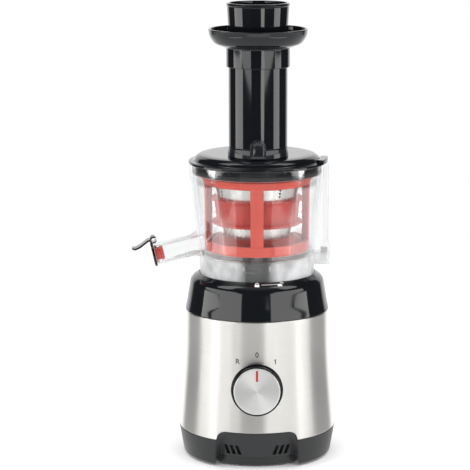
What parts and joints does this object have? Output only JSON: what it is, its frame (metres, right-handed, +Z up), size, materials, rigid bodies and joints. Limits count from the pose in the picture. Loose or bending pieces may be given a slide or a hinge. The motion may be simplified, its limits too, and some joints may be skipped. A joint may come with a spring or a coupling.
{
  "type": "cold press juicer",
  "caption": "Vertical cold press juicer with a steel motor base, clear bowl, red wiping brush, auger, tall feed tube with tray and pusher, and a lever stopper on the spout.",
  "frame": {"origin": "centre of the bottom cover's flat underside, on the auger's axis and level with the skirt's lower edge; the feet stand 1.6 mm below it", "axes": "+Z up along the auger's axis, -Y towards the front with the dial, +X to the right of someone facing the front, away from the spout"},
  "size_m": [0.1959, 0.1652, 0.4372],
  "materials": {
    "steel": "satin, vertical soft sheen",
    "gloss_black": "high gloss",
    "dark_grey": "fine matte grain",
    "boot_grey": "semi-matte",
    "clear": "clear glossy copolyester",
    "red": "semi-gloss",
    "red_clear": "translucent, glossy",
    "red_rubber": "soft silicone",
    "rubber": "matte",
    "white": "satin engineering plastic",
    "aluminium": "spun in circles, bright bevelled edge",
    "zinc": "zinc plated",
    "iron": "laminated and machined",
    "brass": "sintered"
  },
  "bodies": {
    "base": {"steel_shell": "steel", "top_collar": "gloss_black", "chassis": "dark_grey", "bottom_cover": "dark_grey", "foot_front_left": "rubber", "foot_front_right": "rubber", "foot_back_left": "rubber", "foot_back_right": "rubber", "cover_screw_1": "zinc", "cover_screw_2": "zinc", "cover_screw_3": "zinc", "motor_can": "zinc", "motor_end_cap": "zinc", "motor_stator": "iron", "gearbox_housing": "dark_grey", "gearbox_lid": "dark_grey", "output_bush": "brass", "drive_seal": "rubber", "intermediate_axle": "zinc", "rotary_switch": "dark_grey", "reed_switch": "white", "knob_bezel": "gloss_black", "cord_gland": "rubber"},
    "rotor": {"motor_shaft": "iron", "motor_rotor": "iron", "cooling_fan": "white"},
    "intermediate": {"intermediate_gear": "white"},
    "drive": {"output_gear": "iron", "drive_shaft": "dark_grey"},
    "knob": {"knob_body": "gloss_black", "knob_disc": "aluminium", "knob_pointer": "red"},
    "bowl": {"bowl": "clear", "bowl_seal": "red_rubber", "strainer_sieve": "steel", "strainer_top_ring": "red_clear", "strainer_belt": "red_clear", "strainer_bottom": "red_clear", "idler_pin": "zinc", "interlock_cap": "clear"},
    "brush": {"brush_cage": "red", "wiper_blade_front": "red_rubber", "wiper_blade_right": "red_rubber", "wiper_blade_back": "red_rubber", "wiper_blade_left": "red_rubber"},
    "auger": {"auger": "white", "auger_shaft": "dark_grey", "auger_gear": "white"},
    "idler": {"idler_gear": "white"},
    "lid": {"lid": "gloss_black", "feed_tube": "gloss_black", "tube_boot": "boot_grey", "lid_seal": "rubber"},
    "tray": {"tray": "gloss_black"},
    "pusher": {"pusher": "gloss_black"},
    "stopper": {"stopper_lever": "gloss_black", "stopper_plug": "red_rubber"},
    "interlock": {"interlock_rod": "white", "interlock_magnet": "rubber", "interlock_spring": "zinc"}
  },
  "joints": [
    {"name": "knob_turn", "type": "hinge", "parent": "base", "child": "knob", "pos_m": [0, -0.07142, 0.077], "axis": [0, -0.9976, 0.0693], "range_deg": [-35, 35]},
    {"name": "drive_spin", "type": "hinge", "parent": "base", "child": "drive", "pos_m": [0, 0, 0], "axis": [0, 0, 1], "continuous": true},
    {"name": "intermediate_spin", "type": "hinge", "parent": "base", "child": "intermediate", "pos_m": [0, 0.03, 0], "axis": [0, 0, 1], "continuous": true},
    {"name": "motor_spin", "type": "hinge", "parent": "base", "child": "rotor", "pos_m": [0, 0, 0], "axis": [0, 0, 1], "continuous": true},
    {"name": "bowl_turn", "type": "hinge", "parent": "base", "child": "bowl", "pos_m": [0, 0, 0.168], "axis": [0, 0, 1], "range_deg": [0, 21]},
    {"name": "auger_spin", "type": "hinge", "parent": "bowl", "child": "auger", "pos_m": [0, 0, 0], "axis": [0, 0, 1], "continuous": true},
    {"name": "idler_spin", "type": "hinge", "parent": "bowl", "child": "idler", "pos_m": [0, -0.029, 0], "axis": [0, 0, 1], "continuous": true},
    {"name": "brush_spin", "type": "hinge", "parent": "bowl", "child": "brush", "pos_m": [0, 0, 0], "axis": [0, 0, 1], "continuous": true},
    {"name": "lid_turn", "type": "hinge", "parent": "bowl", "child": "lid", "pos_m": [0, 0, 0.282], "axis": [0, 0, 1], "range_deg": [0, 20]},
    {"name": "interlock_lift", "type": "slide", "parent": "bowl", "child": "interlock", "axis": [0, 0, 1], "range_m": [0, 0.003], "stiffness_N_per_m": 60, "springref_m": 0.008, "deforming": ["interlock_spring"]},
    {"name": "tray_lift", "type": "slide", "parent": "lid", "child": "tray", "axis": [0, 0, 1], "range_m": [0, 0.025]},
    {"name": "pusher_lift", "type": "slide", "parent": "tray", "child": "pusher", "axis": [0, 0, 1], "range_m": [0, 0.085]},
    {"name": "stopper_lift", "type": "hinge", "parent": "bowl", "child": "stopper", "pos_m": [-0.09944, -0.01045, 0.20956], "axis": [-0.1045, 0.9945, 0], "range_deg": [0, 100]}
  ],
  "couplings": [
    {"joint": "intermediate_spin", "follows": "drive_spin", "ratio": -4},
    {"joint": "motor_spin", "follows": "drive_spin", "ratio": 16},
    {"joint": "auger_spin", "follows": "drive_spin", "ratio": 1},
    {"joint": "idler_spin", "follows": "drive_spin", "ratio": -0.93333},
    {"joint": "brush_spin", "follows": "drive_spin", "ratio": -0.31818},
    {"joint": "interlock_lift", "follows": "lid_turn", "m_per_rad": 0.0085943}
  ]
}
